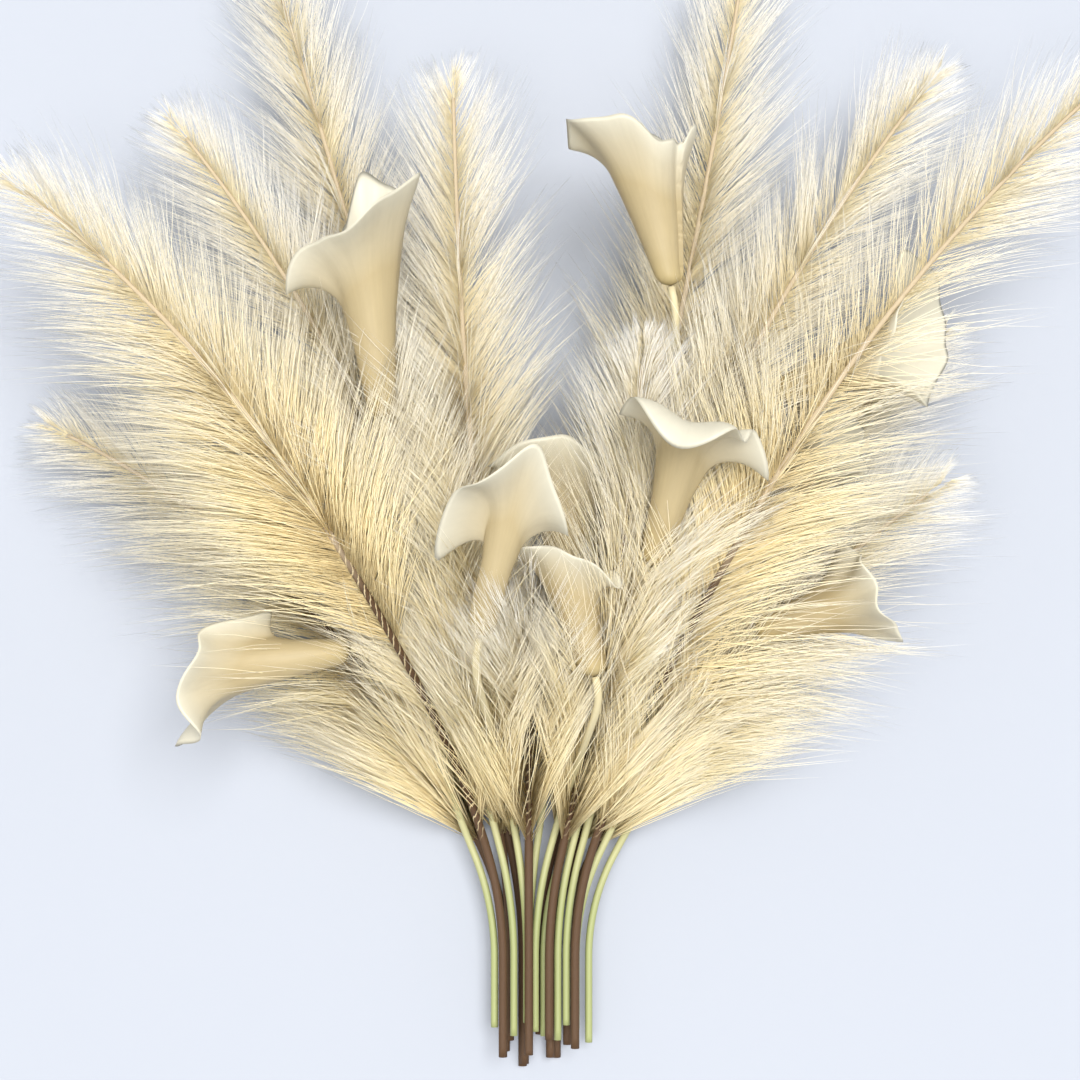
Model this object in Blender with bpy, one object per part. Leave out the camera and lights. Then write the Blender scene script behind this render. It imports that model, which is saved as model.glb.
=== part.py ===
"""Bunch of feathery reed plumes and calla lilies, laid on a flat surface.

The stems run side by side at the bottom (-Y) and fan out towards +Y. +Z is up from the surface.
Every plume is a thin stem with one soft fringe wound on it. Each fringe is a solid that reaches
the tips of its fibres and gives way to its neighbours. Every calla is a spathe, a spadix and a stem.
Lengths are in millimetres here and become metres when a mesh is made.
"""
import math

import bmesh
import bpy
import numpy as np

MM = 0.001

# The grip: where the stems come closest together, as (x, y) of its middle.
GRIP_X = -10.4
GRIP_Y = -157.0
BEND = 50.0          # length over which a stem turns from parallel to its own lean
RISE = 160.0         # length over which a stem climbs to its own height
CLIMB = 70.0         # length over which a calla stem climbs from there to its head

# Plume stems and fringes.
STEM_R = 2.0
STEM_TIP_R = 1.0
STEM_SIDES = 6
STEM_LOW = STEM_R * math.cos(math.pi / STEM_SIDES)   # height at which a stem lies on the surface
ROW_Z = (STEM_LOW, STEM_LOW + 5.0, STEM_LOW + 10.0, STEM_LOW + 15.0,
         STEM_LOW + 20.0)   # layers at the grip
BORE_GAP = 0.40      # clear space between a stem and the fringe wound on it
FRINGE_SIDES = 10
FRINGE_STATIONS = 8
FRINGE_WALL = 1.0    # least thickness of a fringe over its stem
FRINGE_FLAT = 0.84   # height of a fringe over its width
FRINGE_GAP = 2.2     # half the space kept between neighbouring fringes
CALLA_GAP = 2.5      # least space kept between a fringe and a calla
CALLA_SHARE = 0.5    # more space for each millimetre the fringe reaches out towards a calla
TIP_BRUSH = 16.0     # length of the brush of fibres beyond the end of the stem

# Calla lilies.
CALLA_STEM_R = 1.7
CALLA_END = 5.0      # short last piece of a calla stem, in line with its head
HEAD_LENGTH = 83.0
HEAD_R = 27.0
HEAD_BASE_R = 4.6
HEAD_WALL = 1.1
HEAD_SIDES = 12
SPADIX_LENGTH = 40.0
SPADIX_R = 2.7
JOINT_GAP = 0.3

# Each plume: place in its row at the grip, row, lean at the grip and at the tip (degrees from +Y
# towards +X), length from grip to tip, height of its middle, stem below the grip, half width of
# the fringe, and where the fringe starts above the grip.
PLUMES = (
    dict(slot=-14, row=0, lean=-25, tip_lean=-66, reach=294, height=31, tail=96, half=50, start=24),
    dict(slot=-6, row=0, lean=-13, tip_lean=-17, reach=432, height=31, tail=103, half=58, start=40),
    dict(slot=2, row=0, lean=15, tip_lean=9, reach=427, height=31, tail=88, half=52, start=42),
    dict(slot=10, row=0, lean=22, tip_lean=48, reach=304, height=31, tail=99, half=50, start=32),
    dict(slot=-12, row=1, lean=-8, tip_lean=-40, reach=373, height=74, tail=90, half=50, start=40),
    dict(slot=-5, row=1, lean=-8, tip_lean=-1, reach=359, height=74, tail=101, half=48, start=36),
    dict(slot=7, row=1, lean=12, tip_lean=39, reach=401, height=74, tail=98, half=52, start=44),
    dict(slot=15, row=1, lean=28, tip_lean=57, reach=242, height=72, tail=92, half=46, start=24),
    dict(slot=-15, row=4, lean=-16, tip_lean=-53, reach=377, height=114, tail=95, half=50,
         start=130),
    dict(slot=-3, row=4, lean=0, tip_lean=2, reach=140, height=94, tail=94, half=36, start=28),
    dict(slot=6.5, row=4, lean=13, tip_lean=4, reach=240, height=108, tail=87, half=42, start=40),
    dict(slot=18.5, row=4, lean=17, tip_lean=49, reach=421, height=112, tail=91, half=50, start=96),
)

# Each calla: place and row at the grip, lean at the grip and below the head, length from grip to
# head, height of the head's base, height at which the stem runs before it climbs to the head, lean
# and upward pitch of the head, length of the bent neck, turn of the open side about the head's own
# axis, and stem below the grip.
CALLAS = (
    dict(slot=-19, row=3, lean=-22, end_lean=0, reach=124, height=80, carry=50, head=-97, pitch=6,
         neck=50, turn=150, tail=82),
    dict(slot=-10, row=3, lean=-14, end_lean=-15, reach=203, height=120, carry=90, head=-6,
         pitch=6, neck=30, turn=-150, tail=86),
    dict(slot=-4, row=3, lean=-9, end_lean=-14, reach=106, height=136, carry=56, head=14,
         pitch=12, neck=25, turn=150, tail=80),
    dict(slot=0, row=3, lean=15, end_lean=17, reach=90, height=109, carry=50, head=-14, pitch=2,
         neck=20, turn=110, tail=84),
    dict(slot=10.5, row=3, lean=14, end_lean=7, reach=260, height=106, carry=90, head=-12, pitch=2,
         neck=30, turn=70, tail=88),
    dict(slot=14.5, row=3, lean=15, end_lean=9, reach=137, height=112, carry=74, head=14, pitch=20,
         neck=30, turn=170, tail=81),
    dict(slot=-3, row=2, lean=8, end_lean=3, reach=108, height=78, carry=78, head=4, pitch=0,
         neck=30, turn=160, tail=85),
    dict(slot=19, row=3, lean=25, end_lean=26, reach=160, height=72, carry=80, head=30, pitch=0,
         neck=30, turn=40, tail=83),
    dict(slot=4, row=2, lean=21, end_lean=18, reach=235, height=88, carry=84, head=70, pitch=8,
         neck=40, turn=30, tail=87),
    dict(slot=25, row=2, lean=28, end_lean=14, reach=126, height=78, carry=70, head=72, pitch=10,
         neck=40, turn=-170, tail=90),
)

# Looks of the five materials: base colour and roughness.
FINISHES = {
    "plume_fibre": ((0.80, 0.69, 0.47), 0.85),
    "plume_stem": ((0.22, 0.12, 0.06), 0.7),
    "calla_petal": ((0.84, 0.77, 0.60), 0.5),
    "calla_spadix": ((0.85, 0.68, 0.30), 0.6),
    "calla_stem": ((0.40, 0.45, 0.20), 0.55),
}


def clear_scene():
    """Remove whatever the scene holds."""
    for obj in list(bpy.data.objects):
        bpy.data.objects.remove(obj)


def smooth(t):
    """Ease from 0 to 1."""
    t = min(max(t, 0.0), 1.0)
    return t * t * (3.0 - 2.0 * t)


def centre_line(item, stations):
    """Points of a stem's centre line at the given distances above the grip."""
    step = 1.0
    low = -item["tail"]
    high = max(stations)
    count = int((high - low) / step) + 2
    neck = item.get("neck", 0.0)
    rise = min(RISE, item["reach"] - neck)
    base_z = ROW_Z[item["row"]]
    carry = item.get("carry", item["height"])
    point = np.array([GRIP_X + item["slot"], GRIP_Y + low, base_z])
    at = low
    track = [point.copy()]
    marks = [at]
    for _ in range(count):
        middle = at + step / 2
        if middle < 0:
            lean = item["lean"] * max(0.0, 1.0 + middle / BEND)
        else:
            last = item.get("tip_lean", item.get("end_lean"))
            lean = item["lean"] + (last - item["lean"]) * middle / item["reach"]
        if neck:
            share = smooth((middle - item["reach"] + neck) / neck)
            lean += (item["head"] - lean) * share
        angle = math.radians(lean)
        point = point + step * np.array([math.sin(angle), math.cos(angle), 0.0])
        at += step
        point[2] = base_z + (carry - base_z) * smooth(at / rise)
        point[2] += (item["height"] - carry) * smooth((at - item["reach"] + CLIMB) / CLIMB)
        track.append(point.copy())
        marks.append(at)
    track = np.array(track)
    return np.stack([np.interp(stations, marks, track[:, k]) for k in range(3)], axis=1)


def ring_frames(points):
    """Side and up directions square to a centre line, one pair for every point."""
    tangents = np.gradient(points, axis=0)
    tangents /= np.linalg.norm(tangents, axis=1)[:, None]
    side = np.cross(tangents, (0.0, 0.0, 1.0))
    side /= np.linalg.norm(side, axis=1)[:, None]
    up = np.cross(side, tangents)
    return side, up


def ring(centre, side, up, radii, sides):
    """Points round a centre, one radius for all or one for each point."""
    turn = 2.0 * math.pi * np.arange(sides) / sides
    radii = np.broadcast_to(radii, sides)
    return centre + (np.cos(turn) * radii)[:, None] * side + (np.sin(turn) * radii)[:, None] * up


def skin(bm, rings, close_start=True, close_end=True, inward=False):
    """Join rings of points into a tube, facing out or in, and close its ends."""
    order = -1 if inward else 1
    rows = [[bm.verts.new(tuple(p * MM)) for p in r[::order]] for r in rings]
    count = len(rows[0])
    for low, high in zip(rows, rows[1:]):
        for k in range(count):
            nxt = (k + 1) % count
            bm.faces.new((low[k], low[nxt], high[nxt], high[k]))
    if close_start:
        bm.faces.new(rows[0][::-1])
    if close_end:
        bm.faces.new(rows[-1])
    return rows


def bridge(bm, outer, inner):
    """Close the gap between two rims whose point counts differ."""
    edges = []
    for rim in (outer, inner):
        for k, vert in enumerate(rim):
            edges.append(bm.edges.get((vert, rim[(k + 1) % len(rim)])))
    bmesh.ops.bridge_loops(bm, edges=edges)


def finish(bm, name, slot):
    """Turn a bmesh into a named object with outward faces and its own material."""
    bmesh.ops.triangulate(bm, faces=bm.faces[:])
    bmesh.ops.recalc_face_normals(bm, faces=bm.faces[:])
    mesh = bpy.data.meshes.new(name)
    bm.to_mesh(mesh)
    bm.free()
    obj = bpy.data.objects.new(name, mesh)
    bpy.context.collection.objects.link(obj)
    material = bpy.data.materials.get(slot)
    if material is None:
        colour, roughness = FINISHES[slot]
        material = bpy.data.materials.new(slot)
        material.use_nodes = True
        shader = material.node_tree.nodes["Principled BSDF"]
        shader.inputs["Base Color"].default_value = (*colour, 1.0)
        shader.inputs["Roughness"].default_value = roughness
    mesh.materials.append(material)
    return obj


def fringe_stations(item):
    """Distances above the grip at which a plume's fringe has its rings."""
    stem_end = item["reach"] - TIP_BRUSH
    return np.linspace(item["start"], stem_end, FRINGE_STATIONS)


def stem_radius(item, stations):
    """Radius of a plume's stem, which tapers to the tip."""
    share = np.clip(np.asarray(stations) / item["reach"], 0.0, 1.0)
    return STEM_R + (STEM_TIP_R - STEM_R) * share


def free_half_width(item, share):
    """Half width of a fringe that nothing crowds, at a share of its length."""
    swell = 0.35
    if share < swell:
        return item["half"] * (0.32 + 0.68 * math.sin(0.5 * math.pi * share / swell))
    fall = (share - swell) / (1.0 - swell)
    return item["half"] * (1.0 - 0.72 * fall ** 1.6)


def head_frame(item):
    """Base, axis, open side and cross direction of a calla head."""
    lean = math.radians(item["head"])
    pitch = math.radians(item["pitch"])
    flat = np.array([math.sin(lean), math.cos(lean), 0.0])
    axis = flat * math.cos(pitch) + np.array([0.0, 0.0, math.sin(pitch)])
    base = centre_line(item, [item["reach"]])[0] + axis * CALLA_STEM_R * math.sin(pitch)
    side = np.cross(axis, (0.0, 0.0, 1.0))
    side /= np.linalg.norm(side)
    up = np.cross(side, axis)
    turn = math.radians(item["turn"])
    front = math.cos(turn) * up + math.sin(turn) * side
    return base, axis, front, np.cross(axis, front)


def head_profile(share):
    """Half width of a calla head at a share of its length: a tube that flares late."""
    return HEAD_BASE_R + (HEAD_R - HEAD_BASE_R) * (0.65 * share + 0.35 * share ** 2.6)


def obstacles():
    """Centre lines of all plumes, and points with radii along all callas."""
    lines = []
    for item in PLUMES:
        stations = np.arange(item["start"] - 30.0, item["reach"], 3.0)
        lines.append(centre_line(item, stations))
    spots = []
    radii = []
    for item in CALLAS:
        stations = np.arange(20.0, item["reach"], 3.0)
        points = centre_line(item, stations)
        spots.append(points)
        radii.append(np.full(len(points), CALLA_STEM_R))
        base, axis, _, _ = head_frame(item)
        for share in np.linspace(0.0, 1.0, 22):
            spots.append((base + axis * HEAD_LENGTH * share)[None])
            radii.append(np.array([head_profile(share)]))
    return lines, np.concatenate(spots), np.concatenate(radii)


def clear_radius(centre, direction, own, wanted, least, lines, spots, radii):
    """Longest radius along a direction that stays clear of neighbours and above the surface."""
    if direction[2] < 0:
        wanted = min(wanted, centre[2] / -direction[2])
    best = least
    for radius in np.linspace(least, wanted, 34):
        point = centre + direction * radius
        mine = np.linalg.norm(lines[own] - point, axis=1).min()
        rival = min(np.linalg.norm(line - point, axis=1).min()
                    for k, line in enumerate(lines) if k != own)
        calla = (np.linalg.norm(spots - point, axis=1) - radii).min()
        if rival < mine + 2.0 * FRINGE_GAP or calla < CALLA_GAP + CALLA_SHARE * mine:
            break
        best = radius
    return best


def make_stem(item, name):
    """A thin brown stem from its cut end to near the tip of its plume."""
    tail = [-item["tail"], -BEND, -BEND / 2, 0.0]
    stations = np.array(tail + [item["start"] / 2] + list(fringe_stations(item)))
    points = centre_line(item, stations)
    side, up = ring_frames(points)
    radii = stem_radius(item, stations)
    bm = bmesh.new()
    skin(bm, [ring(points[k], side[k], up[k], radii[k], STEM_SIDES)
              for k in range(len(points))])
    return finish(bm, name, "plume_stem")


def make_fringe(item, index, name, lines, spots, radii):
    """The soft brush of fibres wound on a stem, as one solid with a bore for the stem."""
    tail = [-item["tail"], -BEND, -BEND / 2, 0.0]
    stations = np.array(tail + [item["start"] / 2] + list(fringe_stations(item)))
    points = centre_line(item, stations)
    side, up = ring_frames(points)
    first = len(stations) - FRINGE_STATIONS
    stems = stem_radius(item, stations)
    turn = 2.0 * math.pi * np.arange(FRINGE_SIDES) / FRINGE_SIDES - math.pi / 2
    outer = []
    for k in range(first, len(stations)):
        share = (stations[k] - item["start"]) / (item["reach"] - item["start"])
        half = free_half_width(item, share)
        least = stems[k] + BORE_GAP + FRINGE_WALL
        row = []
        for angle in turn:
            shape = np.array([math.cos(angle), FRINGE_FLAT * math.sin(angle)])
            direction = side[k] * shape[0] + up[k] * shape[1]
            length = np.linalg.norm(direction)
            direction = direction / length
            radius = clear_radius(points[k], direction, index, half * length, least,
                                  lines, spots, radii)
            row.append(points[k] + direction * radius)
        outer.append(np.array(row))
    bore = [ring(points[k], side[k], up[k], stems[k] + BORE_GAP, STEM_SIDES)
            for k in range(first, len(stations))]
    heading = points[-1] - points[-2]
    heading /= np.linalg.norm(heading)
    bore[-1] = bore[-1] + heading * BORE_GAP
    tip = points[-1] + heading * TIP_BRUSH
    bm = bmesh.new()
    shell = skin(bm, outer, close_start=False, close_end=False)
    peak = bm.verts.new(tuple(tip * MM))
    rim = shell[-1]
    for k in range(FRINGE_SIDES):
        bm.faces.new((rim[k], rim[(k + 1) % FRINGE_SIDES], peak))
    hollow = skin(bm, bore, close_start=False, close_end=True, inward=True)
    bridge(bm, shell[0], hollow[0])
    return finish(bm, name, "plume_fibre")


def make_calla_stem(item, name):
    """A calla stem from its cut end to just below the head, with a bent neck."""
    tail = [-item["tail"], -BEND, -BEND / 2, 0.0]
    last = item["reach"] - JOINT_GAP
    stations = np.array(tail + list(np.linspace(0.0, last - CALLA_END, 7)[1:]) + [last])
    points = centre_line(item, stations)
    side, up = ring_frames(points)
    bm = bmesh.new()
    skin(bm, [ring(points[k], side[k], up[k], CALLA_STEM_R, STEM_SIDES)
              for k in range(len(points))])
    return finish(bm, name, "calla_stem")


def make_spathe(item, name):
    """The wrapped petal: a flaring funnel, higher and pointed at the back."""
    base, axis, front, cross = head_frame(item)
    turn = 2.0 * math.pi * np.arange(HEAD_SIDES) / HEAD_SIDES
    tall = 0.80 - 0.20 * np.cos(turn)
    outer = []
    inner = []
    for share in (0.0, 0.15, 0.38, 0.62, 0.83, 1.0):
        height = HEAD_LENGTH * share * tall
        radius = np.array([head_profile(share * t) for t in tall])
        spread = (np.cos(turn) * radius)[:, None] * front
        spread = spread + (np.sin(turn) * radius)[:, None] * cross
        outer.append(base + height[:, None] * axis + spread)
        shrink = ((radius - HEAD_WALL) / radius)[:, None]
        lift = (2.0 * HEAD_WALL * (1.0 - share)) * axis
        inner.append(base + height[:, None] * axis + spread * shrink + lift)
    bm = bmesh.new()
    shell = skin(bm, outer, close_start=True, close_end=False)
    lining = skin(bm, inner, close_start=True, close_end=False, inward=True)
    bridge(bm, shell[-1], lining[-1])
    return finish(bm, name, "calla_petal")


def make_spadix(item, name):
    """The blunt finger that stands in the throat of a calla."""
    base, axis, front, cross = head_frame(item)
    foot = 2.0 * HEAD_WALL + JOINT_GAP
    bm = bmesh.new()
    rows = []
    for share, radius in ((0.0, 0.72), (0.3, 1.0), (0.82, 0.82), (1.0, 0.35)):
        centre = base + axis * (foot + SPADIX_LENGTH * share)
        rows.append(ring(centre, front, cross, SPADIX_R * radius, STEM_SIDES))
    skin(bm, rows)
    return finish(bm, name, "calla_spadix")


def main():
    """Build the whole bunch."""
    clear_scene()
    lines, spots, radii = obstacles()
    for index, item in enumerate(PLUMES):
        number = f"{index + 1:02d}"
        make_stem(item, f"plume_stem_{number}")
        make_fringe(item, index, f"plume_fringe_{number}", lines, spots, radii)
    for index, item in enumerate(CALLAS):
        number = f"{index + 1:02d}"
        make_calla_stem(item, f"calla_stem_{number}")
        make_spathe(item, f"calla_spathe_{number}")
        make_spadix(item, f"calla_spadix_{number}")


main()
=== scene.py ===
"""Looks of a bunch of feathery reed plumes and calla lilies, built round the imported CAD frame.

The bunch lies on a pale surface: stems towards -Y, plume tips towards +Y, +Z up. All lengths in the
tables are millimetres, and become metres when a mesh is made.
"""
import math

import bmesh
import bpy
import numpy as np
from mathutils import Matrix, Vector


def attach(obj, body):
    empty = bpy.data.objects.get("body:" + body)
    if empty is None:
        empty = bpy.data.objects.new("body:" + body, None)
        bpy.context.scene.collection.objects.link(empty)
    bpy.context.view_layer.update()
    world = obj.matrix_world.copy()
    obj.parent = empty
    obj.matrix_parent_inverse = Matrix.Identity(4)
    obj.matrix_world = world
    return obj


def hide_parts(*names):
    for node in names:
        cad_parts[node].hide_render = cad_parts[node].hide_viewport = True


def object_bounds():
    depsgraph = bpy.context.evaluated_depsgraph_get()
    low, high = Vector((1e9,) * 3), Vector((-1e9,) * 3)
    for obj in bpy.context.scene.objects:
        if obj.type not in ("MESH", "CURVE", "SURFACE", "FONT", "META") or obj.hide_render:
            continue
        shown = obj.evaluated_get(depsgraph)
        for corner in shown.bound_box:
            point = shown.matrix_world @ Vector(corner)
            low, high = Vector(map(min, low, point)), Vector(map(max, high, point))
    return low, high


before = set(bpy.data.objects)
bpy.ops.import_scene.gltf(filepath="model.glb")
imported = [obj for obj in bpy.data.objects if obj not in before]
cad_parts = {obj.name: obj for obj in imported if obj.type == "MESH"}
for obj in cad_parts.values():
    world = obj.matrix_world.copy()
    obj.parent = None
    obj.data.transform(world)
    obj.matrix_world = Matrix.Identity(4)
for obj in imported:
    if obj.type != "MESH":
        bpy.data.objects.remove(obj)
CAD_BOX = [[float(c) for c in corner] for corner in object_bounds()]

bl_info = {
    "name": "Bunch of reed plumes",
    "version": (1, 0, 0),
    "blender": (4, 5, 0),
    "location": "View3D > Sidebar > Bunch",
    "description": "Builds the fibres, stems, calla lilies and stage of a bunch of reed plumes",
    "category": "Add Mesh",
}

MM = 0.001
UV_NAME = "OFBake"

# The grip, where the stems come closest together, and how the stems bend and rise from it.
GRIP = (-10.4, -157.0)
BEND = 50.0
RISE = 160.0
CLIMB = 70.0
STEM_R = 2.0
STEM_TIP_R = 0.75
STEM_LOW = STEM_R * math.cos(math.pi / 6)
ROW_Z = tuple(STEM_LOW + 5.0 * row for row in range(5))
TIP_BRUSH = 16.0
STEM_SPAN = 545.0        # length that the stems' wrapping is laid out over
STEM_BELOW = 105.0       # part of it below the grip
CALLA_STEM_R = 1.7
STEM_GAP = 0.3           # between a calla's stem and its head
HEAD_LENGTH = 83.0
HEAD_R = 27.0
HEAD_BASE_R = 4.6
SPADIX_LENGTH = 40.0
SPADIX_R = 2.7
THREADS = 3.0            # threads wound side by side round a stem
TUBE_SIDES = 16
ROD_RINGS = 90
STALK_RINGS = 70
LIP_SHARE = 0.34         # share of a petal's length that rolls or opens at the lip

# How fibres grow. Angles are degrees from the stem, and shares run from a plume's foot to its tip.
CLUMP = 7                # fibres in one wisp
STRAND_COLUMNS = 64      # columns of the strands' UV map, from the foot of a plume to its tip
STRAND_STEPS = np.array([0.0, 0.30, 0.65, 1.0])
STRAND_TAPER = np.array([1.0, 0.9, 0.65, 0.0])
FOOT_DENSITY = 1.5       # fibres on a length of stem at the foot, against the average
TIP_DENSITY = 0.4
FIBRE_ANGLE = 45.0
ANGLE_LOSS_TIP = 16.0
ANGLE_LOSS_FOOT = 17.0
LENGTH_LOSS_TIP = 0.32
FLATNESS = 0.84          # how much of their height the fringes keep
HANG = np.array([0.0, -0.10, -0.04])
STRAY = 14.0             # how far a fibre may reach past the CAD frame's box
STALK_COVER = 62.0       # the most that a fibre is lifted to lie over a calla's stem
STALK_PAST = 24.0        # how far past the foot of a calla's head its stem is covered

# The stage, in metres.
FLOOR_HALF = 12.0
EYE = (-0.0082, -0.0119, 1.25)
VIEW_DISTANCE = 1.19
VIEW_HALF = 0.243        # half the width that the camera sees at that distance
SENSOR = 36.0            # millimetres

# The layout of the plumes and callas is the CAD frame's own. "bare" is the stretch above the grip
# where fibres are parted and the stem shows; "patchy" is the share of fibres that still cross it,
# and "narrow" draws the fibres low on a plume in towards its stem.
PLUMES = (
    dict(slot=-14, row=0, lean=-25, tip_lean=-66, reach=294, height=31, tail=96, start=24),
    dict(slot=-6, row=0, lean=-13, tip_lean=-17, reach=432, height=31, tail=103, start=40,
         narrow=0.6),
    dict(slot=2, row=0, lean=15, tip_lean=9, reach=427, height=31, tail=88, start=42,
         narrow=0.6),
    dict(slot=10, row=0, lean=22, tip_lean=48, reach=304, height=31, tail=99, start=32),
    dict(slot=-12, row=1, lean=-8, tip_lean=-40, reach=373, height=74, tail=90, start=40,
         narrow=0.8),
    dict(slot=-5, row=1, lean=-8, tip_lean=-1, reach=359, height=74, tail=101, start=36,
         narrow=0.5),
    dict(slot=7, row=1, lean=12, tip_lean=39, reach=401, height=74, tail=98, start=44,
         narrow=0.6),
    dict(slot=15, row=1, lean=28, tip_lean=57, reach=242, height=72, tail=92, start=24),
    dict(slot=-15, row=4, lean=-16, tip_lean=-53, reach=377, height=114, tail=95, start=130,
         bare=(0, 142), patchy=0.04),
    dict(slot=-3, row=4, lean=0, tip_lean=2, reach=140, height=94, tail=94, start=28,
         bare=(0, 62), patchy=0.06, narrow=0.7),
    dict(slot=6.5, row=4, lean=13, tip_lean=4, reach=240, height=108, tail=87, start=40,
         bare=(0, 72), patchy=0.06, narrow=0.7),
    dict(slot=18.5, row=4, lean=17, tip_lean=49, reach=421, height=112, tail=91, start=96,
         bare=(70, 158), patchy=0.10),
)

# Lobes of a calla's lip: direction round the head (90 and -90 its two sides, 180 the top), width,
# then how far the lip is drawn out and along in mm, and how far it rolls outwards in degrees.
# "veil" is the share of fibres that may cross in front of the head, "slim" narrows its lip, and
# "long" stretches the petal.
CALLAS = (
    dict(slot=-19, row=3, lean=-22, end_lean=0, reach=124, height=80, carry=50, head=-97, pitch=6,
         neck=50, turn=150, tail=82, veil=0.12, slim=0.80,
         lobes=((-92, 20, 2, 8, 30), (-132, 20, 0, -6, 60), (90, 40, 0, -22, 30),
                (165, 26, 0, -10, 10))),
    dict(slot=-10, row=3, lean=-14, end_lean=-15, reach=203, height=120, carry=90, head=-6,
         pitch=6, neck=30, turn=-150, tail=86, veil=0.0, slim=0.84, long=1.24,
         lobes=((5, 50, 0, 40, 0), (-172, 46, 0, -14, 15), (-96, 24, 2, 2, 120),
                (112, 14, 3, 6, 0), (86, 14, 3, 4, -20))),
    dict(slot=-4, row=3, lean=-9, end_lean=-14, reach=106, height=136, carry=56, head=14,
         pitch=12, neck=25, turn=150, tail=80, veil=0.0, slim=0.60,
         lobes=((-140, 30, 0, -4, 60), (-92, 30, -8, -36, 80), (172, 18, 0, 14, 20),
                (112, 26, 1, 6, 120))),
    dict(slot=0, row=3, lean=15, end_lean=17, reach=90, height=109, carry=50, head=-14, pitch=2,
         neck=20, turn=110, tail=84, veil=0.15, slim=0.72, long=0.82,
         lobes=((130, 24, 2, 0, 110), (-120, 30, 2, 2, 60), (180, 20, 0, -4, 0))),
    dict(slot=10.5, row=3, lean=14, end_lean=7, reach=260, height=106, carry=90, head=-12, pitch=2,
         neck=30, turn=70, tail=88, veil=0.0,
         lobes=((-72, 26, -7, -13, 25), (-125, 26, 1, 4, 15), (-165, 20, 0, 9, 10),
                (150, 24, 0, 7, 0), (118, 20, 0, 12, 0), (88, 18, 3, 14, 10))),
    dict(slot=14.5, row=3, lean=15, end_lean=9, reach=137, height=112, carry=74, head=14, pitch=20,
         neck=30, turn=170, tail=81, veil=0.0, slim=0.72, long=1.12,
         lobes=((-172, 40, 0, 4, 140), (136, 13, -3, -6, 40), (100, 16, 7, -4, 110),
                (-106, 22, -3, -8, 60))),
    dict(slot=-3, row=2, lean=8, end_lean=3, reach=108, height=78, carry=78, head=4, pitch=0,
         neck=30, turn=160, tail=85, veil=0.7, slim=0.75,
         lobes=((-110, 40, 2, 2, 70), (120, 30, 3, 3, 60))),
    dict(slot=19, row=3, lean=25, end_lean=26, reach=160, height=72, carry=80, head=30, pitch=0,
         neck=30, turn=40, tail=83, veil=0.25, slim=0.9,
         lobes=((-150, 30, 2, 8, 30), (110, 30, 3, 2, 40))),
    dict(slot=4, row=2, lean=21, end_lean=18, reach=235, height=88, carry=84, head=70, pitch=8,
         neck=40, turn=30, tail=87, veil=0.25, slim=0.85,
         lobes=((-90, 30, 5, 6, 60), (-150, 20, 0, 6, 40), (100, 24, 4, 8, 40))),
    dict(slot=25, row=2, lean=28, end_lean=14, reach=126, height=78, carry=70, head=72, pitch=10,
         neck=40, turn=-170, tail=90, veil=0.65, slim=0.74, long=0.74,
         lobes=((-90, 22, 3, 4, 50), (-140, 16, 0, 5, 60), (170, 16, 2, -3, 20),
                (125, 16, 0, 8, 40))),
)


# ---------------------------------------------------------------- centre lines
def smooth(t):
    """Ease from 0 to 1."""
    t = np.clip(t, 0.0, 1.0)
    return t * t * (3.0 - 2.0 * t)


def centre_line(item, stations):
    """Points of a stem's centre line at the given distances above the grip."""
    step = 1.0
    neck = item.get("neck", 0.0)
    rise = min(RISE, item["reach"] - neck)
    base_z = ROW_Z[item["row"]]
    carry = item.get("carry", item["height"])
    last = item.get("tip_lean", item.get("end_lean"))
    count = int((max(np.max(stations), item["reach"]) + item["tail"]) / step) + 2
    marks = -item["tail"] + step * np.arange(count + 1)
    middle = marks[:-1] + step / 2
    lean = item["lean"] + (last - item["lean"]) * np.maximum(middle, 0.0) / item["reach"]
    lean = np.where(middle < 0, item["lean"] * np.clip(1.0 + middle / BEND, 0.0, 1.0), lean)
    if neck:
        lean = lean + (item["head"] - lean) * smooth((middle - item["reach"] + neck) / neck)
    angle = np.radians(lean)
    x = GRIP[0] + item["slot"] + np.concatenate(([0.0], np.cumsum(np.sin(angle)))) * step
    y = GRIP[1] - item["tail"] + np.concatenate(([0.0], np.cumsum(np.cos(angle)))) * step
    z = base_z + (carry - base_z) * smooth(marks / rise)
    z = z + (item["height"] - carry) * smooth((marks - item["reach"] + CLIMB) / CLIMB)
    return np.stack([np.interp(stations, marks, c) for c in (x, y, z)], axis=-1)


def line_frames(item, stations):
    """Centre, tangent, side and up at the given distances above the grip."""
    stations = np.asarray(stations, dtype=float)
    centre = centre_line(item, stations)
    tangent = centre_line(item, stations + 1.0) - centre_line(item, stations - 1.0)
    tangent /= np.linalg.norm(tangent, axis=-1, keepdims=True)
    side = np.cross(tangent, (0.0, 0.0, 1.0))
    side /= np.linalg.norm(side, axis=-1, keepdims=True)
    return centre, tangent, side, np.cross(side, tangent)


def head_frame(item):
    """Base, axis, open side and cross direction of a calla head."""
    lean = math.radians(item["head"])
    pitch = math.radians(item["pitch"])
    flat = np.array([math.sin(lean), math.cos(lean), 0.0])
    axis = flat * math.cos(pitch) + np.array([0.0, 0.0, math.sin(pitch)])
    base = centre_line(item, np.array([item["reach"]]))[0]
    base = base + axis * CALLA_STEM_R * math.sin(pitch)
    side = np.cross(axis, (0.0, 0.0, 1.0))
    side /= np.linalg.norm(side)
    up = np.cross(side, axis)
    turn = math.radians(item["turn"])
    front = math.cos(turn) * up + math.sin(turn) * side
    return base, axis, front, np.cross(axis, front)


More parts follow.
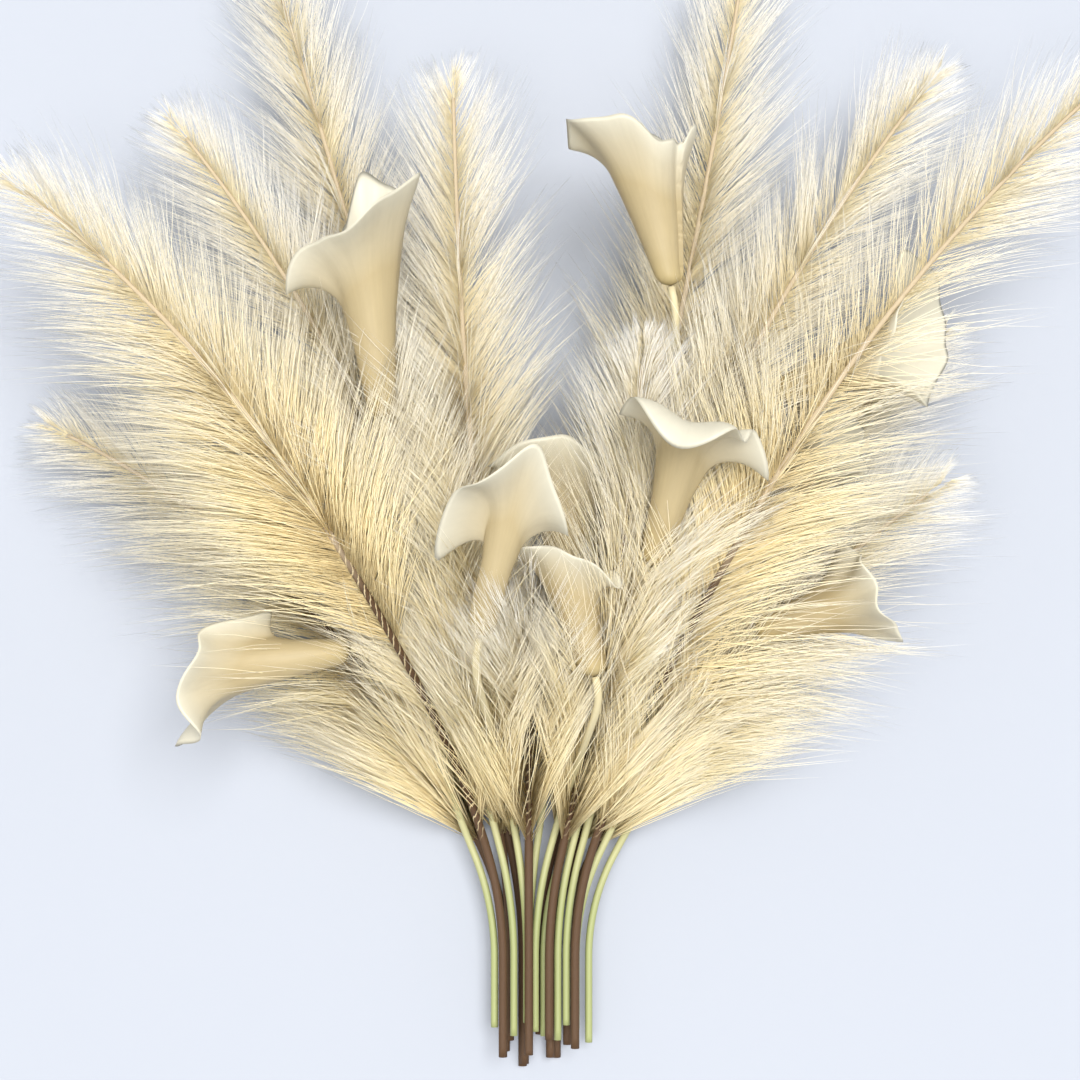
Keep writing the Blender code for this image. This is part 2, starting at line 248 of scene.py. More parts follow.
def head_profile(share):
    """Half width of a calla head at a share of its length: a cone that flares at the lip."""
    return HEAD_BASE_R + (HEAD_R - HEAD_BASE_R) * (0.65 * share + 0.35 * share ** 2.6)


# ---------------------------------------------------------------- material parts
def new_material(name):
    """A material with its nodes, links and Principled BSDF."""
    material = bpy.data.materials.new(name)
    material.use_nodes = True
    nodes = material.node_tree.nodes
    return material, nodes, material.node_tree.links, nodes["Principled BSDF"]


def math_node(nodes, links, kind, first, second=None):
    """A Math node of two inputs, each a socket or a number."""
    node = nodes.new("ShaderNodeMath")
    node.operation = kind
    for k, value in enumerate((first, second)):
        if isinstance(value, (int, float)):
            node.inputs[k].default_value = value
        elif value is not None:
            links.new(value, node.inputs[k])
    return node.outputs["Value"]


def ramp_node(nodes, links, fac, stops):
    """A Color Ramp through the given (position, colour) stops."""
    ramp = nodes.new("ShaderNodeValToRGB")
    elements = ramp.color_ramp.elements
    while len(elements) < len(stops):
        elements.new(0.5)
    for element, (position, colour) in zip(elements, stops):
        element.position = position
        element.color = (*colour, 1.0)
    links.new(fac, ramp.inputs["Fac"])
    return ramp.outputs["Color"]


def mix_node(nodes, links, fac, first, second):
    """A colour mix; each of the three inputs is a socket or a value."""
    mix = nodes.new("ShaderNodeMix")
    mix.data_type = "RGBA"
    for socket, value in ((mix.inputs[0], fac), (mix.inputs[6], first), (mix.inputs[7], second)):
        if isinstance(value, (int, float)):
            socket.default_value = value
        elif isinstance(value, tuple):
            socket.default_value = (*value, 1.0)
        else:
            links.new(value, socket)
    return mix.outputs[2]


def uv_parts(nodes, links):
    """The builder's UV map, whole and split into its two parts."""
    uv = nodes.new("ShaderNodeUVMap")
    uv.uv_map = UV_NAME
    split = nodes.new("ShaderNodeSeparateXYZ")
    links.new(uv.outputs["UV"], split.inputs["Vector"])
    return uv.outputs["UV"], split.outputs["X"], split.outputs["Y"]


def mottle_group():
    """Fine uneven tint shared by the materials: a colour made a little lighter and darker."""
    group = bpy.data.node_groups.get("Fine mottling")
    if group:
        return group
    group = bpy.data.node_groups.new("Fine mottling", "ShaderNodeTree")
    face = group.interface
    face.new_socket("Color", in_out="INPUT", socket_type="NodeSocketColor")
    face.new_socket("Vector", in_out="INPUT", socket_type="NodeSocketVector")
    face.new_socket("Scale", in_out="INPUT", socket_type="NodeSocketFloat")
    face.new_socket("Amount", in_out="INPUT", socket_type="NodeSocketFloat")
    face.new_socket("Color", in_out="OUTPUT", socket_type="NodeSocketColor")
    face.new_socket("Height", in_out="OUTPUT", socket_type="NodeSocketFloat")
    nodes, links = group.nodes, group.links
    source = nodes.new("NodeGroupInput")
    sink = nodes.new("NodeGroupOutput")
    noise = nodes.new("ShaderNodeTexNoise")
    noise.inputs["Detail"].default_value = 5.0
    noise.inputs["Roughness"].default_value = 0.6
    links.new(source.outputs["Vector"], noise.inputs["Vector"])
    links.new(source.outputs["Scale"], noise.inputs["Scale"])
    centred = math_node(nodes, links, "SUBTRACT", noise.outputs["Fac"], 0.5)
    swing = math_node(nodes, links, "MULTIPLY", centred, source.outputs["Amount"])
    value = math_node(nodes, links, "ADD", swing, 1.0)
    tint = nodes.new("ShaderNodeHueSaturation")
    links.new(value, tint.inputs["Value"])
    links.new(source.outputs["Color"], tint.inputs["Color"])
    links.new(tint.outputs["Color"], sink.inputs["Color"])
    links.new(noise.outputs["Fac"], sink.inputs["Height"])
    return group


def mottle(nodes, links, colour, vector, scale, amount):
    """Run a colour through the shared mottling; gives the colour and a height."""
    node = nodes.new("ShaderNodeGroup")
    node.node_tree = mottle_group()
    links.new(colour, node.inputs["Color"])
    links.new(vector, node.inputs["Vector"])
    node.inputs["Scale"].default_value = scale
    node.inputs["Amount"].default_value = amount
    return node.outputs["Color"], node.outputs["Height"]


def bump(nodes, links, shader, height, strength, distance):
    """Bump from a height."""
    node = nodes.new("ShaderNodeBump")
    node.inputs["Strength"].default_value = strength
    node.inputs["Distance"].default_value = distance
    links.new(height, node.inputs["Height"])
    links.new(node.outputs["Normal"], shader.inputs["Normal"])


def stretched(nodes, links, vector, scale):
    """A vector scaled along each of its directions."""
    node = nodes.new("ShaderNodeMapping")
    node.inputs["Scale"].default_value = scale
    links.new(vector, node.inputs["Vector"])
    return node.outputs["Vector"]


# ---------------------------------------------------------------- materials
def fibre_material(settings):
    """Fibre colour from root to tip and from the foot of the plume to its tip, tinted by strand.
    The paler, greyer strand tips are partly the fibres' own colour and partly painted light, and
    the paler upper plume is painted light seen through its sparse fibres.
    """
    material, nodes, links, shader = new_material("Plume fibre")
    _uv, across, along = uv_parts(nodes, links)
    low = ramp_node(nodes, links, along, (
        (0.0, tuple(settings.root_colour)), (0.5, tuple(settings.middle_colour)),
        (0.97, tuple(settings.tip_colour))))
    high = ramp_node(nodes, links, along, (
        (0.0, tuple(settings.middle_colour)), (0.4, tuple(settings.tip_colour)),
        (0.85, tuple(settings.edge_colour))))
    column = math_node(nodes, links, "FLOOR",
                       math_node(nodes, links, "MULTIPLY", across, float(STRAND_COLUMNS)))
    # Painted light: high on the plume the colour is mixed towards the paler ramp, for light seen
    # through the sparse fibres there.
    painted_see_through_share = ramp_node(nodes, links, across, ((0.22, (0.0, 0.0, 0.0)), (0.75, (1.0, 1.0, 1.0))))
    colour = mix_node(nodes, links, painted_see_through_share, low, high)
    noise = nodes.new("ShaderNodeTexWhiteNoise")
    noise.noise_dimensions = "1D"
    links.new(column, noise.inputs["W"])
    value = nodes.new("ShaderNodeMapRange")
    value.inputs["To Min"].default_value = 1.0 - settings.variation
    value.inputs["To Max"].default_value = 1.0 + 0.3 * settings.variation
    links.new(noise.outputs["Value"], value.inputs["Value"])
    tint = nodes.new("ShaderNodeHueSaturation")
    links.new(value.outputs["Result"], tint.inputs["Value"])
    links.new(colour, tint.inputs["Color"])
    links.new(tint.outputs["Color"], shader.inputs["Base Color"])
    shader.inputs["Roughness"].default_value = 0.6
    shader.inputs["Specular IOR Level"].default_value = 0.0
    return material


def stem_material(settings):
    """Brown stem with slanting cream threads wound round it, beige where it becomes the rachis;
    painted shade darkens both edges of each thread.
    """
    material, nodes, links, shader = new_material("Plume stem")
    uv, across, along = uv_parts(nodes, links)
    wobble = nodes.new("ShaderNodeTexNoise")
    wobble.inputs["Scale"].default_value = 1.0
    wobble.inputs["Detail"].default_value = 3.0
    links.new(stretched(nodes, links, uv, (4.0, 60.0, 1.0)), wobble.inputs["Vector"])
    winds = math_node(nodes, links, "MULTIPLY", along, STEM_SPAN / settings.wrap_pitch * MM)
    starts = math_node(nodes, links, "MULTIPLY", across, THREADS)
    phase = math_node(nodes, links, "ADD", winds, starts)
    phase = math_node(nodes, links, "ADD", phase, math_node(
        nodes, links, "MULTIPLY", wobble.outputs["Fac"], 1.1))
    wave = math_node(nodes, links, "FRACT", phase)
    cream, brown = tuple(settings.wrap_colour), tuple(settings.stem_colour)
    # Painted shade: a darker brown along both edges of each thread, where it meets the stem.
    painted_crease_shade = tuple(0.45 * c for c in brown)
    bands = ramp_node(nodes, links, wave, (
        (0.0, painted_crease_shade), (0.10, brown), (0.70, brown), (0.77, cream), (0.88, cream), (0.94, painted_crease_shade)))
    below = ramp_node(nodes, links, along, ((0.205, (1.0, 1.0, 1.0)), (0.225, (0.0, 0.0, 0.0))))
    bands = mix_node(nodes, links, below, bands, brown)
    share = ramp_node(nodes, links, along, ((0.44, (0.0, 0.0, 0.0)), (0.52, (1.0, 1.0, 1.0))))
    colour = mix_node(nodes, links, share, bands, tuple(settings.rachis_colour))
    colour, height = mottle(nodes, links, colour, stretched(nodes, links, uv, (8.0, 60.0, 1.0)),
                            3.0, 0.5)
    links.new(colour, shader.inputs["Base Color"])
    shader.inputs["Roughness"].default_value = 0.7
    bump(nodes, links, shader, math_node(nodes, links, "ADD", wave, height), 0.5, 0.0005)
    return material


def stalk_material(settings):
    """Pale green calla stem with fine streaks along it."""
    material, nodes, links, shader = new_material("Calla stem")
    uv, _across, along = uv_parts(nodes, links)
    green, pale = tuple(settings.stalk_colour), tuple(settings.neck_colour)
    colour = ramp_node(nodes, links, along, ((0.14, green), (0.30, pale)))
    colour, height = mottle(nodes, links, colour, stretched(nodes, links, uv, (14.0, 9.0, 1.0)),
                            2.0, 0.45)
    links.new(colour, shader.inputs["Base Color"])
    shader.inputs["Roughness"].default_value = 0.5
    bump(nodes, links, shader, height, 0.25, 0.0004)
    return material


def petal_material(settings):
    """Petal: warm outside that pales to the lip, ivory inside, with fine streaks along it. The
    outside's darker tone is partly its own colour and partly painted shade.
    """
    material, nodes, links, shader = new_material("Calla petal")
    uv, _across, along = uv_parts(nodes, links)
    outside, lip = tuple(settings.outside_colour), tuple(settings.lip_colour)
    foot = tuple(settings.foot_colour)
    between = tuple(0.5 * (a + b) for a, b in zip(outside, lip))
    # The outside is darker than the lip partly by its own colour and partly as painted shade.
    colour = ramp_node(nodes, links, along, (
        (0.02, foot), (0.14, outside), (0.32, outside), (0.43, between), (0.49, lip),
        (0.75, lip), (0.97, foot)))
    colour, height = mottle(nodes, links, colour, stretched(nodes, links, uv, (34.0, 5.0, 1.0)),
                            1.6, 0.16)
    broad, _height = mottle(nodes, links, colour, stretched(nodes, links, uv, (3.0, 4.0, 1.0)),
                            1.4, 0.22)
    links.new(broad, shader.inputs["Base Color"])
    shader.inputs["Roughness"].default_value = 0.48
    shader.inputs["Specular IOR Level"].default_value = 0.35
    bump(nodes, links, shader, height, 0.25, 0.0005)
    return material


def spadix_material(settings):
    """Yellow finger covered with tiny round florets, darker towards their edges as painted shade
    between them.
    """
    material, nodes, links, shader = new_material("Calla spadix")
    where = nodes.new("ShaderNodeTexCoord")
    cells = nodes.new("ShaderNodeTexVoronoi")
    cells.inputs["Scale"].default_value = 900.0
    links.new(where.outputs["Object"], cells.inputs["Vector"])
    yellow = tuple(settings.spadix_colour)
    # Painted shade: the yellow darkens to half towards the edge of each floret, where the florets
    # meet.
    colour = ramp_node(nodes, links, cells.outputs["Distance"], (
        (0.05, yellow), (0.75, tuple(0.5 * c for c in yellow))))
    colour, _height = mottle(nodes, links, colour, where.outputs["Object"], 260.0, 0.3)
    links.new(colour, shader.inputs["Base Color"])
    shader.inputs["Roughness"].default_value = 0.65
    inverse = math_node(nodes, links, "SUBTRACT", 1.0, cells.outputs["Distance"])
    bump(nodes, links, shader, inverse, 0.7, 0.0005)
    return material


def floor_material(settings):
    """Smooth pale surface with a faint unevenness."""
    material, nodes, links, shader = new_material("Surface")
    where = nodes.new("ShaderNodeTexCoord")
    tone = nodes.new("ShaderNodeRGB")
    tone.outputs[0].default_value = (*settings.floor_colour, 1.0)
    colour, height = mottle(nodes, links, tone.outputs[0], where.outputs["Object"], 2.5, 0.05)
    links.new(colour, shader.inputs["Base Color"])
    shader.inputs["Roughness"].default_value = 0.8
    shader.inputs["Specular IOR Level"].default_value = 0.1
    bump(nodes, links, shader, height, 0.03, 0.002)
    return material


# ---------------------------------------------------------------- meshes
def place(obj, slot, *nodes):
    """Ride on the root body and stand for CAD nodes; the slot is not used."""
    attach(obj, "root")
    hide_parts(*nodes)


def link_mesh(name, bm, material):
    """Turn a bmesh into an object of the scene."""
    mesh = bpy.data.meshes.new(name)
    bm.to_mesh(mesh)
    bm.free()
    mesh.materials.append(material)
    obj = bpy.data.objects.new(name, mesh)
    bpy.context.scene.collection.objects.link(obj)
    return obj


def strand_mesh(name, paths, radii, columns, material):
    """One mesh of many thin closed strands: paths (n, k, 3), radii (n, k) with the tip a point."""
    count, rings, _ = paths.shape
    tangent = np.gradient(paths, axis=1)
    tangent /= np.linalg.norm(tangent, axis=2, keepdims=True) + 1e-9
    side = np.cross(tangent, (0.13, 0.21, 0.97))
    side /= np.linalg.norm(side, axis=2, keepdims=True) + 1e-9
    up = np.cross(side, tangent)
    turn = 2.0 * math.pi * np.arange(3) / 3
    ring = paths[:, :-1, None, :] + radii[:, :-1, None, None] * (
        np.cos(turn)[None, None, :, None] * side[:, :-1, None, :]
        + np.sin(turn)[None, None, :, None] * up[:, :-1, None, :])
    body = ring.reshape(count, (rings - 1) * 3, 3)
    verts = np.concatenate([body, paths[:, -1:, :]], axis=1) * MM
    per = (rings - 1) * 3 + 1
    faces = []
    for k in range(rings - 2):
        for j in range(3):
            a, b = 3 * k + j, 3 * k + (j + 1) % 3
            faces += [(a, b, b + 3), (a, b + 3, a + 3)]
    top = 3 * (rings - 2)
    faces += [(top + j, top + (j + 1) % 3, per - 1) for j in range(3)]
    faces.append((2, 1, 0))
    faces = np.array(faces)
    level = np.concatenate([np.repeat(np.arange(rings - 1), 3), [rings - 1]]) / (rings - 1)
    across = np.concatenate([np.tile([0.2, 0.5, 0.8], rings - 1), [0.5]])
    index = (faces[None] + per * np.arange(count)[:, None, None]).reshape(-1)
    mesh = bpy.data.meshes.new(name)
    mesh.vertices.add(count * per)
    mesh.vertices.foreach_set("co", verts.astype(np.float32).ravel())
    mesh.loops.add(len(index))
    mesh.loops.foreach_set("vertex_index", index.astype(np.int32))
    total = len(index) // 3
    mesh.polygons.add(total)
    mesh.polygons.foreach_set("loop_start", np.arange(0, 3 * total, 3, dtype=np.int32))
    mesh.polygons.foreach_set("use_smooth", np.ones(total, bool))
    layer = mesh.uv_layers.new(name=UV_NAME)
    flat = np.tile(faces.reshape(-1), (count, 1))
    u = (columns[:, None] + across[flat]) / STRAND_COLUMNS
    v = 0.02 + 0.96 * level[flat]
    layer.data.foreach_set("uv", np.stack([u, v], axis=-1).astype(np.float32).ravel())
    mesh.update(calc_edges=True)
    mesh.materials.append(material)
    obj = bpy.data.objects.new(name, mesh)
    bpy.context.scene.collection.objects.link(obj)
    return obj


def unit_noise(rng, *shape):
    """Normal noise held within two and a half deviations."""
    return np.clip(rng.normal(0.0, 1.0, shape), -2.5, 2.5)


def fringe_ends(item):
    """Where a plume's fibres begin and end on its stem; they begin below the CAD frame's solid."""
    below = 34.0 if item["start"] < 90 else 22.0
    return max(5.0, item["start"] - below), item["reach"] - 4.0


def wisp_layout(item, rng, settings):
    """Place, share, turn, angle and length of each wisp; few of them point at the viewer."""
    low, high = fringe_ends(item)
    wisps = int((high - low) * settings.fibres_per_mm / CLUMP)
    even = (np.arange(wisps) + rng.random(wisps)) / wisps
    thinning = FOOT_DENSITY - TIP_DENSITY
    every = FOOT_DENSITY ** 2 - TIP_DENSITY ** 2
    share = (FOOT_DENSITY - np.sqrt(FOOT_DENSITY ** 2 - every * even)) / thinning
    at = low + (high - low) * share
    spread = 1.30 - 0.60 * smooth(share / 0.6)
    turn = math.pi * rng.integers(0, 2, wisps) + spread * unit_noise(rng, wisps)
    front = (np.sin(turn) > 0.5) & (rng.random(wisps) < 0.85)
    aside = np.where(np.cos(turn) > 0, 0.25, math.pi - 0.25) + 0.2 * unit_noise(rng, wisps)
    turn = np.where(front, np.where(share > 0.4, -turn, aside), turn)
    alpha = FIBRE_ANGLE - ANGLE_LOSS_TIP * share ** 1.8
    alpha = alpha - ANGLE_LOSS_FOOT * (1.0 - smooth(at / 100.0))
    narrow = item.get("narrow", 1.0)
    alpha = alpha * (narrow + (1.0 - narrow) * smooth((at - 60.0) / 140.0))
    alpha = alpha + 4.0 * unit_noise(rng, wisps)
    full = settings.fibre_length / MM
    length = full * (1.0 - LENGTH_LOSS_TIP * share) * (0.80 + 0.26 * rng.random(wisps))
    return at, share, turn, alpha, length


def grow(item, share, droop, at, turn, alpha, length):
    """Curved paths that leave the stem at the given places, turns and angles."""
    centre, tangent, side, up = line_frames(item, at)
    radial = np.cos(turn)[:, None] * side + FLATNESS * np.sin(turn)[:, None] * up
    heading = np.cos(alpha)[:, None] * tangent + np.sin(alpha)[:, None] * radial
    paths = centre[:, None, :] + radial[:, None, :]
    paths = paths + (length[:, None] * STRAND_STEPS)[:, :, None] * heading[:, None, :]
    bend = (length[:, None] * STRAND_STEPS ** 2)[:, :, None]
    inward = (-0.16 * share)[:, None, None] * radial[:, None, :]
    outward = (0.10 * (1.0 - share))[:, None, None] * radial[:, None, :]
    return paths + bend * (inward + outward + droop[:, None, None] * HANG)


def fringe_strands(item, rng, settings):
    """Paths, radii and UV columns of a plume's fibres, gathered in wisps."""
    low, high = fringe_ends(item)
    wisps = wisp_layout(item, rng, settings)
    at, share, turn, alpha, length = (np.repeat(values, CLUMP) for values in wisps)
    count = len(at)
    own_at = np.clip(at + 1.8 * unit_noise(rng, count), low, high)
    own_turn = turn + 0.20 * unit_noise(rng, count)
    own_alpha = np.radians(alpha + 2.4 * unit_noise(rng, count))
    own_length = length * (0.60 + 0.46 * rng.random(count))
    if "bare" in item:
        bare = (own_at > item["bare"][0]) & (own_at < item["bare"][1])
        up_turn = np.where(np.cos(own_turn) > 0, -0.30, math.pi + 0.30)
        lifted = bare & (np.sin(own_turn) > -0.25)
        own_turn = np.where(lifted, up_turn + 0.25 * unit_noise(rng, count), own_turn)
        turn = np.where(lifted, own_turn, turn)
    room = (item["reach"] + 9.0 - own_at) / np.cos(own_alpha)
    own_length = np.minimum(own_length, room * (0.80 + 0.20 * rng.random(count)))
    steps = STRAND_STEPS
    wave = unit_noise(rng, count, 3)
    droop = smooth(at / 120.0)
    paths = grow(item, share, droop, own_at, own_turn, own_alpha, own_length)
    guide = grow(item, share, droop, at, turn, np.radians(alpha), own_length)
    pull = settings.gather * (0.4 + 1.2 * share[:, None, None]) * (steps ** 1.5)[None, :, None]
    paths = paths + pull * (guide - paths)
    paths = paths + (own_length[:, None] * steps ** 2)[:, :, None] * 0.03 * wave[:, None, :]
    floor = 0.4 + 2.5 * rng.random(count)[:, None] * steps
    paths[:, :, 2] = np.maximum(paths[:, :, 2], floor)
    thick = settings.fibre_width / MM * 0.5 * (0.7 + 0.5 * rng.random(count))
    thick *= 1.30 - 0.60 * share
    radii = thick[:, None] * STRAND_TAPER
    columns = np.clip(share * 58.0 + 3.0 * unit_noise(rng, count), 0, STRAND_COLUMNS - 1)
    return paths, radii, np.floor(columns)


def over_stalks(paths, rng):
    """Lay most strands that pass near a calla's stem over it."""
    chance = rng.random(len(paths)) < 0.95
    extra = 2.5 + 6.0 * rng.random(len(paths))
    lift = np.zeros(len(paths))
    for item in CALLAS:
        line = centre_line(item, np.arange(0.0, item["reach"] + STALK_PAST, 3.0))
        gap = paths[:, 1:, None, :] - line[None, None, :, :]
        flat = np.hypot(gap[..., 0], gap[..., 1])
        close = flat.argmin(axis=2)
        away = np.take_along_axis(flat, close[:, :, None], 2)[:, :, 0]
        rise = line[close][..., 2] + extra[:, None] - paths[:, 1:, 2]
        wanted = np.where((rise > 0) & (rise < STALK_COVER), rise, 0.0)
        wanted = wanted * smooth((26.0 - away) / 12.0)
        lift = np.maximum(lift, wanted.max(axis=1))
    shape = np.array([0.0, 0.7, 1.0, 0.9])
    paths[:, :, 2] += np.where(chance, lift, 0.0)[:, None] * shape
    return paths


def sampled(paths, per_leg):
    """Points along each path, at even steps of every leg."""
    legs = []
    for k in range(paths.shape[1] - 1):
        for t in np.linspace(0.0, 1.0, per_leg, endpoint=False):
            legs.append(paths[:, k] + t * (paths[:, k + 1] - paths[:, k]))
    legs.append(paths[:, -1])
    return np.stack(legs, axis=1)


def clear_of_heads(paths, rng):
    """Keep strands out of every calla head, and mostly off the open ones' tops."""
    chance = rng.random(len(paths))
    keep = np.ones(len(paths), bool)
    for item in CALLAS:
        base, axis, _front, _cross = head_frame(item)
        spots = sampled(paths, 4)
        rel = spots - base
        along = rel @ axis
        share = along / (HEAD_LENGTH * item.get("long", 1.0))
        radial = rel - along[:, :, None] * axis
        away = np.linalg.norm(radial, axis=2)
        wide = head_profile(np.clip(share, 0.0, 1.0)) + 1.5
        inside = (share > -0.02) & (share < 1.0) & (away < wide)
        side = np.cross(axis, (0.0, 0.0, 1.0))
        beside = np.abs(rel @ side) < wide + 3.0 * np.clip(share, 0.0, 1.0)
        above = radial[:, :, 2] > 0.0
        over = (share > 0.42) & (share < 1.12) & beside & above
        veiled = chance < item["veil"]
        keep &= ~(over.any(axis=1) & ~veiled)
        hit = inside.any(axis=1)
        keep &= ~(hit & (chance > 0.45))
        deep = np.where(inside, wide + 0.5 - away, 0.0)
        first = deep.argmax(axis=1)
        rows = np.arange(len(paths))
        way = radial[rows, first] / np.maximum(away[rows, first], 1.0)[:, None]
        lift = way * deep[rows, first][:, None]
        steps = np.array([0.0, 0.5, 1.0, 1.1])[None, :, None]
        paths = paths + np.where(hit, 1.0, 0.0)[:, None, None] * steps * lift[:, None, :]
    return keep, paths


def within_box(paths):
    """Leave out strands that reach well past the CAD frame's own box."""
    low = np.array(CAD_BOX[0]) / MM - STRAY
    high = np.array(CAD_BOX[1]) / MM + STRAY
    return ((paths > low) & (paths < high)).all(axis=(1, 2))


def clear_of_stems(paths, rng):
    """Leave out most strands that would cross in front of a bare stretch of stem."""
    chance = rng.random(len(paths))
    spots = sampled(paths, 5)
    keep = np.ones(len(paths), bool)
    for item in PLUMES:
        if "bare" not in item:
            continue
        low, high = item["bare"]
        line = centre_line(item, np.arange(low, high, 2.0))
        near = ((spots.max(axis=1) > line.min(axis=0) - 4.0)
                & (spots.min(axis=1) < line.max(axis=0) + 4.0))[:, :2].all(axis=1)
        picked = np.flatnonzero(near)
        gap = spots[picked][:, :, None, :] - line[None, None, :, :]
        flat = np.hypot(gap[..., 0], gap[..., 1])
        front = ((flat < 2.6) & (gap[..., 2] > 0.5)).any(axis=(1, 2))
        drop = front & (chance[picked] > item.get("patchy", 0.10))
        keep[picked[drop]] = False
    return keep


def tube(name, item, stations, radii, material):
    """A closed smooth tube along a centre line, from a cylinder bent into place, with a UV map."""
    bm = bmesh.new()
    bmesh.ops.create_cone(bm, cap_ends=True, segments=TUBE_SIDES, radius1=1.0, radius2=1.0,
                          depth=1.0)
    upright = [e for e in bm.edges if abs(e.verts[0].co.z - e.verts[1].co.z) > 0.5]
    bmesh.ops.subdivide_edges(bm, edges=upright, cuts=len(stations) - 2, use_grid_fill=True)
    layer = bm.loops.layers.uv.new(UV_NAME)
    last = len(stations) - 1
    for face in bm.faces:
        capped = len(face.verts) > 4
        middle = face.calc_center_median()
        centre = math.atan2(middle.y, middle.x) / (2.0 * math.pi) + 0.5
        for loop in face.loops:
            co = loop.vert.co
            k = int(round((co.z + 0.5) * last))
            if capped:
                loop[layer].uv = (0.5 + 0.01 * co.x, 0.985 + 0.008 * co.y)
                continue
            u = math.atan2(co.y, co.x) / (2.0 * math.pi) + 0.5
            u += round(centre - u)
            v = (stations[k] + STEM_BELOW) / STEM_SPAN
            loop[layer].uv = (0.01 + 0.98 * min(max(u, 0.0), 1.0), v)
    bm.verts.ensure_lookup_table()
    centre, _tangent, side, up = line_frames(item, stations)
    for vert in bm.verts:
        k = int(round((vert.co.z + 0.5) * last))
        spot = centre[k] + radii[k] * (vert.co.x * side[k] + vert.co.y * up[k])
        vert.co = Vector(spot * MM)
    bmesh.ops.recalc_face_normals(bm, faces=bm.faces[:])
    obj = link_mesh(name, bm, material)
    obj.data.polygons.foreach_set("use_smooth", [len(p.vertices) == 4 for p in obj.data.polygons])
    return obj


def petal_surface(item, turn, share, phases, ruffle):
    """Points of a calla's petal sheet, at turns round its axis and shares of its length."""
    base, axis, front, cross = head_frame(item)
    tall = 0.80 + 0.20 * np.cos(turn)
    full = HEAD_LENGTH * item.get("long", 1.0)
    height = full * share * tall
    radius = head_profile(share * tall) * np.sqrt(np.clip(share / 0.05, 0.0, 1.0))
    radius = radius * (1.0 + (item.get("slim", 1.0) - 1.0) * smooth(share / 0.5))
    radius = radius + 0.9 * turn / math.pi * np.clip(share / 0.15, 0.0, 1.0)
    wave = np.sin(3 * turn + phases[0]) + 0.6 * np.sin(7 * turn + phases[1])
    radius = radius + ruffle * share ** 5 * wave
    wave = np.sin(4 * turn + phases[2]) + 0.6 * np.sin(9 * turn + phases[3])
    height = height + ruffle * share ** 4 * wave
    seam = np.exp(-((math.pi - np.abs(turn)) / 0.22) ** 2)
    height = height - 5.0 * seam * share ** 4
    curl = np.full_like(turn, 0.35)
    for where, width, out, along, roll in item["lobes"]:
        gap = np.radians(where + item["turn"]) - turn
        gap = (gap + math.pi) % (2.0 * math.pi) - math.pi
        weight = np.exp(-(gap / math.radians(width)) ** 2)
        radius = radius + weight * out * share ** 3
        height = height + weight * along * share ** 3
        curl = curl + weight * math.radians(roll)
    part = np.clip((share - 1.0 + LIP_SHARE) / LIP_SHARE, 0.0, 1.0)
    reach = LIP_SHARE * full * tall * part
    angle = np.maximum(np.abs(curl * part), 1e-4) * np.where(curl < 0, -1.0, 1.0)
    height = height + reach * (np.sin(angle) / angle - 1.0)
    radius = np.maximum(radius + reach * (1.0 - np.cos(angle)) / angle, 0.0)
    spot = base + height[:, None] * axis
    spot = spot - (radius * np.cos(turn))[:, None] * front
    return spot + (radius * np.sin(turn))[:, None] * cross


def spathe(name, item, seed, settings, material):
    """The wrapped petal: a ball drawn out into an outside, a rolled lip and an inside."""
    around, along = 112, 88
    bm = bmesh.new()
    bmesh.ops.create_uvsphere(bm, u_segments=around, v_segments=along, radius=1.0)
    co = np.array([v.co for v in bm.verts])
    turn = np.arctan2(co[:, 1], co[:, 0])
    level = 0.5 + np.arcsin(np.clip(co[:, 2], -1.0, 1.0)) / math.pi
    phases = np.random.default_rng(seed).random(4) * 2.0 * math.pi
    share = 1.0 - np.abs(2.0 * level - 1.0)
    ruffle = settings.ruffle / MM
    step = 1e-3
    spot = petal_surface(item, turn, share, phases, ruffle)
    inner = np.clip(share - step, 0.02, 1.0)
    along_dir = petal_surface(item, turn, inner + step, phases, ruffle)
    along_dir = along_dir - petal_surface(item, turn, inner, phases, ruffle)
    round_dir = petal_surface(item, turn + step, inner, phases, ruffle)
    round_dir = round_dir - petal_surface(item, turn - step, inner, phases, ruffle)
    normal = np.cross(along_dir, round_dir)
    normal /= np.linalg.norm(normal, axis=1)[:, None] + 1e-12
    wall = settings.wall / MM * np.sqrt(np.clip((1.0 - share) / 0.05, 0.0, 1.0))
    offset = np.where(level > 0.5, -0.5, 0.5) * wall
    spot = spot + offset[:, None] * normal
    _base, axis, _front, _cross = head_frame(item)
    foot = np.where(level > 0.5, 1.6, 0.3) * np.clip(1.0 - share / 0.06, 0.0, 1.0)
    spot = spot + foot[:, None] * axis
    layer = bm.loops.layers.uv.new(UV_NAME)
    bm.verts.index_update()
    for face in bm.faces:
        centre = face.calc_center_median()
        mid = math.atan2(centre.y, centre.x) / (2.0 * math.pi) + 0.5
        for loop in face.loops:
            k = loop.vert.index
            u = turn[k] / (2.0 * math.pi) + 0.5
            if level[k] < 1e-3 or level[k] > 0.999:
                u = mid
            u += round(mid - u)
            loop[layer].uv = (0.01 + 0.98 * min(max(u, 0.0), 1.0), 0.01 + 0.98 * level[k])
    for k, vert in enumerate(bm.verts):
        vert.co = Vector(spot[k] * MM)
    bmesh.ops.recalc_face_normals(bm, faces=bm.faces[:])
    obj = link_mesh(name, bm, material)
    obj.data.polygons.foreach_set("use_smooth", [True] * len(obj.data.polygons))
    return obj


